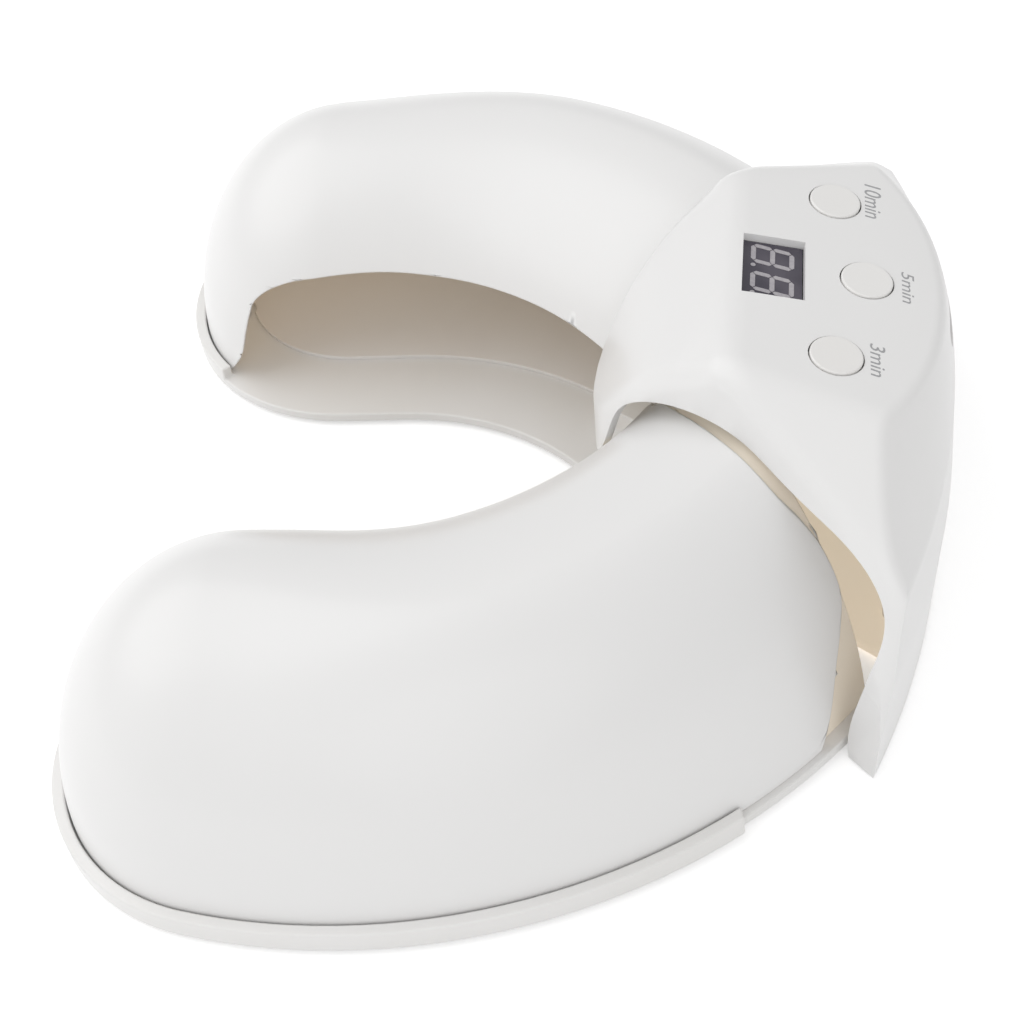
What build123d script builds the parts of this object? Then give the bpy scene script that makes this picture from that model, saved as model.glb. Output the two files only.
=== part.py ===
from build123d import *
import os
from math import acos, atan, atan2, cos, degrees, hypot, radians, sin, sqrt, tan

os.makedirs("parts", exist_ok=True)

# Two-armed nail lamp. Millimetres, +Z up, the mouth of the C towards -X, the hub at +X.
# The origin is the centre of the footprint, on the table. The far arm (y > 0) is drawn,
# and the near arm is its mirror image.

# Plan of an arm: a band between an outer and an inner circle, with a round tip
tip_radius = 50.0
tip_x = -54.8
inner_edge_y = 31.9
outer_radius = 149.5
outer_tangent_deg = 101.8
inner_radius = 69.3
inner_center_x = -37.5
mirror_gap = 2.5

inner_run_degs = (5.0, 45.0)
outer_run_degs = (60.0, 8.0)

# Base tray of an arm
foot_height = 1.2
floor_thickness = 2.8
rim_height = 7.3
rim_thickness = 3.0
shell_gap = 0.4
tongue_inset = 1.8
step_deg = 76.0
step_overlap_deg = 1.0
rim_open_deg = 5.0
arm_end_deg = 47.0
beyond_tip_deg = 270.0
panel_setback = 22.0
panel_thickness = 1.2
panel_clearance = 1.5
panel_from_deg = 78.0
tongue_cut_deg = 54.0
tongue_cut_reach = 71.0

rim_end_deg = 224.0

# Dome of an arm
crest_height = 62.7
shell_wall = 2.2
crest_share = 0.594
inner_fullness = 2.0
outer_fullness = 1.67
tip_fullness = 1.85
opening_points = ((34, 36), (20.6, 36.5), (5.3, 37.9), (-21.8, 39.7), (-42, 41), (-59.5, 39.8),
                  (-68.6, 37.1), (-74.9, 32.9), (-77.7, 28.7), (-80.5, 21.6), (-83.7, 13), (-91.0, 2))
opening_reach = 80.0
station_degs = (4.0, 18.0, 32.0, 46.0, 61.0, 76.0, 90.0)
section_shares = (0.0, 0.12, 0.26, 0.42, 0.6, 0.8, 1.0)
neck_step = 1.8
neck_overlap = 3.0
end_edge_deg = 50.0
end_edge_points = ((-15, 2), (-10.3, 11.4), (-5.5, 22), (-1.2, 29), (2.4, 36), (2.2, 45), (0.4, 51.3),
                   (-2.4, 57.6), (-6, 70))

# Hinge of an arm
hinge_x = 36.0
hinge_y = 13.0
post_diameter = 9.0
post_flange_diameter = 16.0
post_flange_thickness = 2.0
bush_wall = 1.5
bush_fit = 0.05
lug_radius = 12.0
lug_thickness = 5.0
lug_root = 1.0
lug_gap = 0.35
lug_reach = 25.0
lug_deg = 120.0
lug_half_deg = 24.0
disc_clearance = 1.0

# Hub cover: plan at three heights, as height, nose radius, half width at the legs, back
cover_levels = ((0.6, 32.0, 86.2, 103.3), (30.0, 30.5, 84.5, 106.3), (95.0, 27.0, 60.0, 106.3))
nose_center_x = 50.6
nose_face_x = 19.1
# Side view of the front of the nose, from its straight foot up to the sloping top
nose_points = ((19.1, 38), (21, 43.4), (25, 50.6), (30, 58.3), (36, 65.8), (43, 72), (50, 76.6))
nose_end_x = 60.0
back_radius = 225.0
cover_wall = 2.2
shoulder_points = ((4, 97), (25, 85), (38, 77.5), (44, 72.6), (60, 61), (71, 51.5), (79, 38.5), (84.5, 18),
                   (87.5, 0))
# How the back bends in towards the top: height, arc radius, back, half length of the arc
crown_levels = ((-20.0, 225.0, 107.5, 112.0), (50.0, 195.0, 106.4, 105.0), (61.0, 118.0, 105.2, 90.0),
                (70.0, 84.0, 103.3, 70.0), (90.0, 60.0, 98.5, 52.0))
crown_front_x = -30.0
crown_flare = 30.0
plateau_slope = 0.25
plateau_x = 86.3
plateau_z = 72.8
ridge_round = 10.0
brow_round = 7.0
back_round = 4.0
# Where the middles of the edges to be rounded lie, and how long those edges are at least
ridge_from_x = 60.0
ridge_from_z = 70.0
ridge_span = (35.0, 45.0)
ridge_length = 20.0
brow_to_x = 80.0
brow_heights = (60.0, 81.9)
brow_length = 9.0
back_from_x = 84.0
back_from_z = 50.0
back_length = 30.0
arch_start = (20.6, 0.0)
arch_turn_deg = 52.93
arch_foot = (-12.0, -5.0)
arch_reach = 30.0
arch_points = ((0, 24.5), (17.4, 46.6), (21.6, 54), (30, 60.6), (47.5, 65.2), (58, 64.2), (66.6, 61))
arch_end_points = ((78, 57.2), (87, 54.7), (97.5, 49), (101.5, 44), (103, 31), (104, -5))
arch_depth = 5.5
arch_depth_slope = 0.15
hub_wedge_deg = 37.0
hub_disc_radius = 13.0
hub_floor_thickness = 2.5
hub_side_gap = 0.6
hub_screw_sink = 0.4

# Hinge hardware
post_screw_bite = 4.0
washer_diameter = 14.0
washer_thickness = 1.0

# Buttons, display and charging inlet
button_diameter = 12.0
button_gap = 0.35
button_lift = 0.5
button_travel = 0.6
button_flange_overhang = 1.4
button_flange_thickness = 1.2
button_flange_gap = 0.3
button_edge_round = 0.4
stem_diameter = 3.0
center_button_x = 86.3
side_button_x = 79.3
side_button_y = 27.0
display_x = 65.5
display_height = 14.0
display_width = 20.0
display_recess = 2.0
display_fit = 0.2
digit_height = 10.1
digit_width = 6.6
digit_pitch = 9.6
digit_shift = 0.5
digit_slant_deg = 9.0
segment_width = 1.15
segment_proud = 0.12
segment_gap = 0.3
point_offset = 1.55
inlet_width = 9.0
inlet_height = 3.2
inlet_length = 7.4
inlet_wall = 0.35
inlet_tongue = 0.7
inlet_tongue_width = 6.6
inlet_slot_width = 15.0
inlet_slot_height = 4.6
inlet_slot_reach = 8.0
inlet_floor = 1.0
socket_x = 98.0

# Control board, hung under the sloping top of the cover
board_thickness = 1.6
board_depth = 9.5
board_length = 46.0
board_width = 66.0
board_center_x = 77.5
chip_size = 8.0
chip_height = 1.6
chip_place = (-8.0, 20.0)
connector_size = (5.0, 8.0, 6.0)
connector_place = (-20.0, 14.0)
switch_size = 6.0
switch_height = 3.5
board_screw_x = 20.0
board_screw_y = 29.0
board_bite = 5.0
boss_diameter = 6.0
front_boss_x = 46.5
back_boss_x = 92.0
back_boss_y = 40.0
screw_head_diameter = 5.4
screw_head_height = 1.8
screw_shank_diameter = 2.6
screw_hole_fit = 0.2
cross_length = 3.2
cross_width = 0.8
cross_depth = 0.9

# Lamp boards in the arms
lamp_board_z = 48.0
lamp_board_half_width = 17.0
lamp_board_shift = -5.0
lamp_board_from_deg = 36.0
lamp_board_to_deg = 94.0
lamp_count = 6
lamp_row_offset = 9.0
lamp_size = 3.5
lamp_height = 2.0
lamp_boss_degs = (46.0, 66.0, 86.0)
tray_boss_degs = (52.0, 74.0, 96.0)
tray_boss_inset = 9.5
tray_boss_reach = 26.0
lamp_boss_reach = 20.0
tip_boss_degs = (150.0, 190.0)
screw_bite = 8.0
screw_end_gap = 1.0

# Rubber feet
foot_diameter = 9.0
foot_recess = 0.8
foot_edge_round = 0.5
arm_feet = ((-84.0, 85.0), (-30.0, 121.0), (40.0, 97.0), (-40.0, 44.0))
hub_feet_places = ((58.0, 0.0), (84.0, 28.0), (84.0, -28.0))


def polar(center, radius, angle_deg):
    return (center[0] + radius * cos(radians(angle_deg)), center[1] + radius * sin(radians(angle_deg)))


def ray_circle(start, angle_deg, center, radius):
    # distance along a ray to the far side of a circle
    dx = start[0] - center[0]
    dy = start[1] - center[1]
    b = dx * cos(radians(angle_deg)) + dy * sin(radians(angle_deg))
    return -b + sqrt(b * b - dx * dx - dy * dy + radius * radius)


tip_center = (tip_x, inner_edge_y + tip_radius)
outer_center = polar(tip_center, -(outer_radius - tip_radius), outer_tangent_deg)
inner_center = (inner_center_x, inner_edge_y - inner_radius)
hinge = (hinge_x, hinge_y)
pole = ((outer_center[0] + inner_center[0]) / 2, (outer_center[1] + inner_center[1]) / 2)
floor_top = foot_height + floor_thickness
shell_inset = rim_thickness + shell_gap
far_past = 400.0
under_table = -20.0
through = 30.0
on_base = (Align.CENTER, Align.CENTER, Align.MIN)
under = (Align.CENTER, Align.CENTER, Align.MAX)
plateau_tilt = degrees(atan(plateau_slope))


def plateau_height(x):
    return plateau_z - plateau_slope * (x - plateau_x)


def plateau_plane(x, y=0.0, below=0.0):
    # a plane that lies on the sloping top of the hub, or a depth below it
    along = (cos(radians(plateau_tilt)), 0, -sin(radians(plateau_tilt)))
    normal = (sin(radians(plateau_tilt)), 0, cos(radians(plateau_tilt)))
    place = Vector(x, y, plateau_height(x)) - Vector(*normal) * below
    return Plane(origin=place, x_dir=along, z_dir=normal)


def sector_face(from_deg, to_deg, reach):
    # a sector about the far arm's hinge
    start = polar(hinge, reach, from_deg)
    end = polar(hinge, reach, to_deg)
    with BuildSketch() as sector:
        with BuildLine():
            Line(hinge, start)
            ThreePointArc(start, polar(hinge, reach, (from_deg + to_deg) / 2), end)
            Line(end, hinge)
        make_face()
    return sector.sketch


def inner_arc_point(angle, inset):
    return polar(pole, ray_circle(pole, angle, inner_center, inner_radius + inset), angle)


def arm_band(inset_outer, inset_inner, from_deg, to_deg):
    # the plan of the far arm, between two radial lines from its hinge
    start_inner = inner_arc_point(inner_run_degs[0], inset_inner)
    mid_inner = inner_arc_point(inner_run_degs[1], inset_inner)
    top_inner = (inner_center_x, inner_edge_y + inset_inner)
    tip_low = (tip_x, inner_edge_y + inset_inner)
    tip_r = tip_radius - (inset_outer + inset_inner) / 2
    tip_y = tip_low[1] + tip_r
    reach = outer_radius - inset_outer
    tip_mid = (tip_x - tip_r, tip_y)
    join = polar(outer_center, reach, outer_tangent_deg)
    outer_mid = polar(outer_center, reach, outer_run_degs[0])
    outer_end = polar(outer_center, reach, outer_run_degs[1])
    with BuildSketch() as band:
        with BuildLine():
            ThreePointArc(start_inner, mid_inner, top_inner)
            Line(top_inner, tip_low)
            ThreePointArc(tip_low, tip_mid, join)
            ThreePointArc(join, outer_mid, outer_end)
            Line(outer_end, start_inner)
        make_face()
        add(sector_face(from_deg, to_deg, far_past), mode=Mode.INTERSECT)
        with Locations((0, mirror_gap - far_past)):
            Rectangle(2 * far_past, 2 * far_past, mode=Mode.SUBTRACT)
    return band.sketch


def fullness_point(share, width, height, fullness):
    # a point of a quarter of a dome section: share 0 at the foot, 1 at the crest
    angle = radians(90.0 * share)
    return (width * cos(angle) ** (2 / fullness), height * sin(angle) ** (2 / fullness))


def dome_section(plane, width_in, width_out, height, full_in, full_out):
    # half-dome profile in a plane whose x runs outwards and whose y runs up
    inner = [fullness_point(s, width_in, height, full_in) for s in section_shares]
    outer = [fullness_point(s, width_out, height, full_out) for s in section_shares]
    with BuildSketch(plane) as section:
        with BuildLine():
            Spline([(-x, y) for x, y in inner], tangents=[(0, 1), (1, 0)])
            Spline([(x, y) for x, y in outer], tangents=[(0, 1), (-1, 0)])
            Line((-inner[0][0], 0), (outer[0][0], 0))
        make_face()
    return section.sketch


def dome_stations(inset):
    # place, direction, widths and fullness of each section, from the hub to the tip
    stations = []
    for angle in station_degs:
        near = ray_circle(pole, angle, inner_center, inner_radius + inset)
        far = ray_circle(pole, angle, outer_center, outer_radius - inset)
        place = polar(pole, near + crest_share * (far - near), angle)
        stations.append((place, angle, crest_share * (far - near), (1 - crest_share) * (far - near), 0.0))
    width = 2 * (tip_radius - inset)
    stations.append((tip_center, 90.0, width / 2, width / 2, 1.0))
    return stations


def dome_solid(inset, height):
    # the whole outside of an arm's dome, or the hollow under it
    with BuildPart() as dome:
        for place, angle, width_in, width_out, tipness in dome_stations(inset):
            out = (cos(radians(angle)), sin(radians(angle)), 0)
            plane = Plane(origin=(*place, floor_top), x_dir=out, z_dir=(out[1], -out[0], 0))
            full_in = inner_fullness + tipness * (tip_fullness - inner_fullness)
            full_out = outer_fullness + tipness * (tip_fullness - outer_fullness)
            add(dome_section(plane, width_in, width_out, height, full_in, full_out))
        loft()
        tip_width = tip_radius - inset
        quarter = [fullness_point(s, tip_width, height, tip_fullness) for s in section_shares]
        tip_plane = Plane(origin=(*tip_center, floor_top), x_dir=(0, 1, 0), z_dir=(1, 0, 0))
        with BuildSketch(tip_plane):
            with BuildLine():
                Spline(quarter, tangents=[(0, 1), (-1, 0)])
                Line((0, height), (0, 0))
                Line((0, 0), (tip_width, 0))
            make_face()
        revolve(axis=Axis((*tip_center, 0), (0, 0, 1)), revolution_arc=180)
    return dome.part


def cover_plan(radius, leg_y, back, inset):
    # outline of the hub at one height: nose arc, two straight walls, back arc
    nose = (nose_center_x, 0)
    back_center = (back - back_radius, 0)
    leg = (back_center[0] + sqrt(back_radius ** 2 - leg_y ** 2), leg_y)
    reach = hypot(leg[0] - nose[0], leg[1])
    normal_deg = degrees(atan2(leg[1], leg[0] - nose[0]) + acos(radius / reach))
    touch = polar(nose, radius - inset, normal_deg)
    run = ray_circle(touch, normal_deg - 90, back_center, back_radius - inset)
    corner = polar(touch, run, normal_deg - 90)
    with BuildLine() as outline:
        ThreePointArc((touch[0], -touch[1]), (nose[0] - radius + inset, 0), touch)
        Line(touch, corner)
        ThreePointArc(corner, (back - inset, 0), (corner[0], -corner[1]))
        Line((corner[0], -corner[1]), (touch[0], -touch[1]))
    return outline.line


def inset_points(points, amount):
    # points of a profile moved inwards, square to the line through their neighbours
    moved = []
    for i, (x, y) in enumerate(points):
        before = points[max(i - 1, 0)]
        after = points[min(i + 1, len(points) - 1)]
        run = (after[0] - before[0], after[1] - before[1])
        moved.append((x + amount * run[1] / hypot(*run), y - amount * run[0] / hypot(*run)))
    return moved


def crown_section(height, radius, back, half, inset):
    # one level of the solid that bends the back of the cover in towards the top
    end_x = back - radius + sqrt((radius - inset) ** 2 - half ** 2)
    with BuildSketch(Plane.XY.offset(height)) as section:
        with BuildLine():
            ThreePointArc((end_x, -half), (back - inset, 0), (end_x, half))
            Polyline(
                (end_x, half),
                (crown_front_x, half + crown_flare),
                (crown_front_x, -half - crown_flare),
                (end_x, -half),
            )
        make_face()
    return section.sketch


def cover_form(inset):
    # the solid outside of the hub cover, or the hollow under it
    shoulders = inset_points(shoulder_points, inset)
    foot_y = shoulders[-1][0]
    nose = [(nose_face_x + inset, nose_points[0][1]), *inset_points(nose_points, inset)[1:]]
    top_drop = inset / cos(radians(plateau_tilt))
    nose_end_at = nose_end_x - inset * plateau_slope
    nose_end = (nose_end_at, plateau_height(nose_end_at) - top_drop)
    with BuildPart() as form:
        for height, radius, leg_y, back in cover_levels:
            with BuildSketch(Plane.XY.offset(height)):
                add(cover_plan(radius, leg_y, back, inset))
                make_face()
        loft(ruled=True)
        with BuildSketch(Plane.YZ.offset(-far_past)):
            with BuildLine():
                Spline(shoulders)
                Polyline(
                    (foot_y, shoulders[-1][1]),
                    (foot_y, under_table),
                    (-foot_y, under_table),
                    (-foot_y, shoulders[-1][1]),
                )
                Spline([(-y, z) for y, z in reversed(shoulders)])
                Line((-shoulders[0][0], shoulders[0][1]), shoulders[0])
            make_face()
        extrude(amount=2 * far_past, mode=Mode.INTERSECT)
        with BuildSketch(Plane.XZ.offset(-far_past)):
            with BuildLine():
                Spline([*nose, nose_end], tangents=[(0, 1), (1, -plateau_slope)])
                Polyline(
                    nose_end,
                    (far_past, plateau_height(far_past) - top_drop),
                    (far_past, under_table),
                    (nose[0][0], under_table),
                    nose[0],
                )
            make_face()
        extrude(amount=2 * far_past, mode=Mode.INTERSECT)
        with BuildPart(mode=Mode.INTERSECT):
            for level in crown_levels:
                add(crown_section(*level, inset))
            loft()
    return form.part


def is_ridge(edge):
    # the edges between the sloping top and the shoulders
    middle = edge @ 0.5
    if middle.Z < ridge_from_z or middle.X < ridge_from_x:
        return False
    return ridge_span[0] < abs(middle.Y) < ridge_span[1] and edge.length > ridge_length


def is_brow(edge):
    # the edges between the front walls and the top, round the nose and down to the legs
    middle = edge @ 0.5
    in_zone = middle.X < brow_to_x and brow_heights[0] < middle.Z < brow_heights[1]
    return in_zone and edge.length > brow_length


def is_back_edge(edge):
    # the edges between the back wall and all that is over it
    middle = edge @ 0.5
    return middle.X > back_from_x and middle.Z > back_from_z and edge.length > back_length


def rounded_cover():
    form = cover_form(0.0)
    for radius, wanted in ((ridge_round, is_ridge), (brow_round, is_brow), (back_round, is_back_edge)):
        form = form.fillet(radius, [edge for edge in form.edges() if wanted(edge)])
    return form


def arch_tunnel():
    # the way through the cover's far front wall, deeper higher up as the back wall leans
    across = (cos(radians(arch_turn_deg)), sin(radians(arch_turn_deg)))
    plane = Plane(origin=(*arch_start, 0), x_dir=(*across, 0), z_dir=(across[1], -across[0], 0))
    with BuildPart() as tunnel:
        with BuildSketch(plane):
            with BuildLine():
                Line(arch_foot, arch_points[0])
                Spline(*arch_points, *arch_end_points)
                Line(arch_end_points[-1], arch_foot)
            make_face()
        extrude(amount=arch_reach, both=True)
        lean = Plane(
            origin=(arch_start[0] + arch_depth * across[1], arch_start[1] - arch_depth * across[0], 0),
            x_dir=(*across, 0),
            z_dir=Vector(across[1], -across[0], -arch_depth_slope),
        )
        with BuildSketch(lean):
            Rectangle(2 * far_past, 2 * far_past)
        extrude(amount=2 * arch_reach, mode=Mode.SUBTRACT)
    return tunnel.part


def across_end(shift):
    # the part of an arm beyond its dome's end edge, looked at square to the dome's outer side
    out = (cos(radians(end_edge_deg)), sin(radians(end_edge_deg)))
    plane = Plane(origin=(*hinge, 0), x_dir=(out[1], -out[0], 0), z_dir=(-out[0], -out[1], 0))
    points = [(w + shift, z) for w, z in end_edge_points]
    with BuildPart() as beyond:
        with BuildSketch(plane):
            with BuildLine():
                Spline(*points)
                Polyline(points[-1], (far_past, points[-1][1]), (far_past, points[0][1]), points[0])
            make_face()
        extrude(amount=far_past, both=True)
    return beyond.part


def hinge_sector(from_deg, to_deg, low, high, reach):
    return extrude(Plane.XY.offset(low) * sector_face(from_deg, to_deg, reach), amount=high - low)


def crest_point(angle, shift=0.0):
    # a point on the crest of the dome, in plan, or at a shift outwards from it
    near = ray_circle(pole, angle, inner_center, inner_radius + shell_inset)
    far = ray_circle(pole, angle, outer_center, outer_radius - shell_inset)
    return polar(pole, near + crest_share * (far - near) + shift, angle)


def wall_point(angle, inset):
    # a point in from the outer edge of an arm, on a line from its hinge
    reach = ray_circle(hinge, angle, outer_center, outer_radius - inset)
    return polar(hinge, reach, angle)


outer_form = dome_solid(shell_inset, crest_height - floor_top)
cavity_form = dome_solid(shell_inset + shell_wall, crest_height - floor_top - shell_wall)
neck_inset = shell_inset + neck_step
neck_form = dome_solid(neck_inset, crest_height - floor_top - neck_step)
neck_hollow = dome_solid(neck_inset + shell_wall, crest_height - floor_top - neck_step - shell_wall)
tray_bosses = [wall_point(a, shell_inset + tray_boss_inset) for a in tray_boss_degs]
tray_bosses += [polar(tip_center, tip_radius - shell_inset - tray_boss_inset, a) for a in tip_boss_degs]
lamp_bosses = [crest_point(a, lamp_board_shift) for a in lamp_boss_degs]

with BuildPart() as far_arm_shell:
    add(outer_form)
    add(cavity_form, mode=Mode.SUBTRACT)
    add(across_end(0.0), mode=Mode.SUBTRACT)
    with BuildPart(mode=Mode.PRIVATE) as neck:
        add(neck_form)
        add(neck_hollow, mode=Mode.SUBTRACT)
        add(across_end(-neck_overlap), mode=Mode.INTERSECT)
    add(neck.part)
    # bosses for the screws of the tray and of the lamp board
    with BuildPart(mode=Mode.PRIVATE) as bosses:
        with Locations(*[(x, y, floor_top) for x, y in tray_bosses]):
            Cylinder(boss_diameter / 2, tray_boss_reach, align=on_base)
        with Locations(*[(x, y, lamp_board_z + board_thickness) for x, y in lamp_bosses]):
            Cylinder(boss_diameter / 2, lamp_boss_reach, align=on_base)
        add(outer_form, mode=Mode.INTERSECT)
    add(bosses.part)
    with Locations(*[(x, y, floor_top) for x, y in tray_bosses]):
        Cylinder(screw_shank_diameter / 2, screw_bite, align=on_base, mode=Mode.SUBTRACT)
    with Locations(*[(x, y, lamp_board_z + board_thickness) for x, y in lamp_bosses]):
        Cylinder(screw_shank_diameter / 2, screw_bite, align=on_base, mode=Mode.SUBTRACT)
    # the opening for the fingers, in the inner side only
    with BuildSketch(Plane.XZ):
        with BuildLine():
            Spline(*opening_points)
            Polyline(
                opening_points[-1],
                (opening_points[-1][0], 0),
                (opening_points[0][0], 0),
                opening_points[0],
            )
        make_face()
    extrude(amount=-opening_reach, mode=Mode.SUBTRACT)
    # clear of the other arm, and of the back of the hub
    with Locations((0, mirror_gap - far_past, 0)):
        Box(4 * far_past, 2 * far_past, 2 * far_past, mode=Mode.SUBTRACT)
    add(hinge_sector(-90, arm_end_deg, under_table, far_past, far_past), mode=Mode.SUBTRACT)
far_arm_shell.part.label = "far_arm_shell"
export_step(far_arm_shell.part, "parts/far_arm_shell.step")

with BuildPart() as near_arm_shell:
    mirror(far_arm_shell.part, about=Plane.XZ)
near_arm_shell.part.label = "near_arm_shell"
export_step(near_arm_shell.part, "parts/near_arm_shell.step")

# Base tray with its rim, the tongue that runs under the hub, and the lug of the hinge
rim_from = polar(tip_center, far_past, rim_end_deg)
hub_floor_top = foot_height + hub_floor_thickness
flange_top = hub_floor_top + post_flange_thickness
lug_bottom = flange_top + lug_gap
lug_top = lug_bottom + lug_thickness
post_top = lug_top + lug_gap
bush_radius = post_diameter / 2 + bush_fit + bush_wall

with BuildPart() as far_arm_base:
    with BuildSketch(Plane.XY.offset(foot_height)):
        add(arm_band(0, 0, step_deg, beyond_tip_deg))
    extrude(amount=floor_thickness)
    with BuildSketch(Plane.XY.offset(foot_height)):
        add(arm_band(tongue_inset, 0, arm_end_deg, step_deg + step_overlap_deg))
    extrude(amount=floor_thickness)
    with BuildSketch(Plane.XY.offset(foot_height)):
        add(arm_band(0, 0, step_deg, beyond_tip_deg))
        add(arm_band(rim_thickness, rim_thickness, step_deg - rim_open_deg, beyond_tip_deg),
            mode=Mode.SUBTRACT)
        with BuildSketch(mode=Mode.INTERSECT):
            with BuildLine():
                Polyline(tip_center, rim_from, (-far_past, far_past), (far_past, far_past),
                         (far_past, tip_center[1]), tip_center)
            make_face()
    extrude(amount=rim_height - foot_height)
    # the tongue's outer corner is cut off, to clear the back of the hub as the arm swings
    with BuildSketch(Plane.XY):
        with BuildLine():
            Polyline(
                wall_point(tongue_cut_deg, 0),
                polar(hinge, tongue_cut_reach, arm_end_deg - step_overlap_deg),
                polar(hinge, far_past, arm_end_deg - step_overlap_deg),
                polar(hinge, far_past, tongue_cut_deg),
                close=True,
            )
        make_face()
    extrude(amount=through, mode=Mode.SUBTRACT)
    with Locations((*hinge, 0)):
        Cylinder(hub_disc_radius + disc_clearance, through, mode=Mode.SUBTRACT)
    lug_degs = (lug_deg - lug_half_deg, lug_deg + lug_half_deg)
    add(hinge_sector(*lug_degs, foot_height + lug_root, lug_top, lug_reach))
    with Locations((*hinge, lug_bottom)):
        Cylinder(lug_radius, lug_thickness, align=on_base)
    with Locations((*hinge, 0)):
        Cylinder(hub_disc_radius + disc_clearance, lug_bottom, mode=Mode.SUBTRACT, align=on_base)
        Cylinder(bush_radius, through, mode=Mode.SUBTRACT)
    # screw holes with counterbores, and the seats of the feet
    with Locations(*[(x, y, 0) for x, y in tray_bosses]):
        Cylinder(screw_shank_diameter / 2 + screw_hole_fit, through, mode=Mode.SUBTRACT)
        Cylinder(screw_head_diameter / 2 + screw_hole_fit, foot_height + screw_head_height, align=on_base,
                 mode=Mode.SUBTRACT)
    with Locations(*[(x, y, 0) for x, y in arm_feet]):
        Cylinder(foot_diameter / 2, foot_height + foot_recess, mode=Mode.SUBTRACT, align=on_base)
far_arm_base.part.label = "far_arm_base"
export_step(far_arm_base.part, "parts/far_arm_base.step")

with BuildPart() as near_arm_base:
    mirror(far_arm_base.part, about=Plane.XZ)
near_arm_base.part.label = "near_arm_base"
export_step(near_arm_base.part, "parts/near_arm_base.step")

with BuildPart() as far_hinge_bush:
    with Locations((*hinge, lug_bottom)):
        Cylinder(bush_radius, lug_thickness, align=on_base)
        Cylinder(post_diameter / 2 + bush_fit, lug_thickness, mode=Mode.SUBTRACT, align=on_base)
far_hinge_bush.part.label = "far_hinge_bush"
export_step(far_hinge_bush.part, "parts/far_hinge_bush.step")

with BuildPart() as near_hinge_bush:
    mirror(far_hinge_bush.part, about=Plane.XZ)
near_hinge_bush.part.label = "near_hinge_bush"
export_step(near_hinge_bush.part, "parts/near_hinge_bush.step")

# The raised panel that the hand rests on
panel_inset = shell_inset + shell_wall + panel_clearance
with BuildPart() as far_floor_panel:
    with BuildSketch(Plane.XY.offset(floor_top)):
        add(arm_band(panel_inset, panel_setback, panel_from_deg, beyond_tip_deg))
        with Locations(*[(x, y) for x, y in tray_bosses]):
            Circle(boss_diameter / 2 + panel_clearance, mode=Mode.SUBTRACT)
        with Locations(hinge):
            Circle(lug_reach + panel_clearance, mode=Mode.SUBTRACT)
    extrude(amount=panel_thickness)
far_floor_panel.part.label = "far_floor_panel"
export_step(far_floor_panel.part, "parts/far_floor_panel.step")

with BuildPart() as near_floor_panel:
    mirror(far_floor_panel.part, about=Plane.XZ)
near_floor_panel.part.label = "near_floor_panel"
export_step(near_floor_panel.part, "parts/near_floor_panel.step")

# Lamp board under the crest of the dome
lamp_step = (lamp_board_to_deg - lamp_board_from_deg) / lamp_count
board_angles = [lamp_board_from_deg + i * lamp_step for i in range(lamp_count + 1)]
board_low = lamp_board_shift - lamp_board_half_width
board_high = lamp_board_shift + lamp_board_half_width
with BuildPart() as far_lamp_board:
    with BuildSketch(Plane.XY.offset(lamp_board_z)):
        with BuildLine():
            inside = Spline([crest_point(a, board_low) for a in board_angles])
            outside = Spline([crest_point(a, board_high) for a in board_angles])
            Line(inside @ 0, outside @ 0)
            Line(inside @ 1, outside @ 1)
        make_face()
        with Locations(*lamp_bosses):
            Circle(screw_shank_diameter / 2 + screw_hole_fit, mode=Mode.SUBTRACT)
    extrude(amount=board_thickness)
far_lamp_board.part.label = "far_lamp_board"
export_step(far_lamp_board.part, "parts/far_lamp_board.step")

with BuildPart() as near_lamp_board:
    mirror(far_lamp_board.part, about=Plane.XZ)
near_lamp_board.part.label = "near_lamp_board"
export_step(near_lamp_board.part, "parts/near_lamp_board.step")

with BuildPart() as far_lamps:
    for i in range(lamp_count):
        for side in (-1, 1):
            angle = lamp_board_from_deg + (i + 0.5) * lamp_step
            x, y = crest_point(angle, lamp_board_shift + side * lamp_row_offset)
            with Locations(Location((x, y, lamp_board_z), (0, 0, angle))):
                Box(lamp_size, lamp_size, lamp_height, align=under)
far_lamps.part.label = "far_lamps"
export_step(far_lamps.part, "parts/far_lamps.step")

with BuildPart() as near_lamps:
    mirror(far_lamps.part, about=Plane.XZ)
near_lamps.part.label = "near_lamps"
export_step(near_lamps.part, "parts/near_lamps.step")


def screw_up(head_plane_z):
    # a pan head that looks down, with its shank up into a boss
    with BuildPart() as screw:
        Cylinder(screw_head_diameter / 2, screw_head_height, align=on_base)
        with BuildSketch(Plane.XY):
            Rectangle(cross_length, cross_width)
            Rectangle(cross_width, cross_length)
        extrude(amount=cross_depth, mode=Mode.SUBTRACT)
        with Locations((0, 0, screw_head_height)):
            Cylinder(screw_shank_diameter / 2 - bush_fit, head_plane_z, align=on_base)
    return screw.part


tray_shank = floor_thickness - screw_head_height + screw_bite - screw_end_gap
with BuildPart() as far_tray_screws:
    with Locations(*[(x, y, foot_height) for x, y in tray_bosses]):
        add(screw_up(tray_shank))
far_tray_screws.part.label = "far_tray_screws"
export_step(far_tray_screws.part, "parts/far_tray_screws.step")

with BuildPart() as near_tray_screws:
    mirror(far_tray_screws.part, about=Plane.XZ)
near_tray_screws.part.label = "near_tray_screws"
export_step(near_tray_screws.part, "parts/near_tray_screws.step")

lamp_shank = board_thickness + screw_bite - screw_end_gap
with BuildPart() as far_lamp_board_screws:
    with Locations(*[(x, y, lamp_board_z - screw_head_height) for x, y in lamp_bosses]):
        add(screw_up(lamp_shank))
far_lamp_board_screws.part.label = "far_lamp_board_screws"
export_step(far_lamp_board_screws.part, "parts/far_lamp_board_screws.step")

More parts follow.
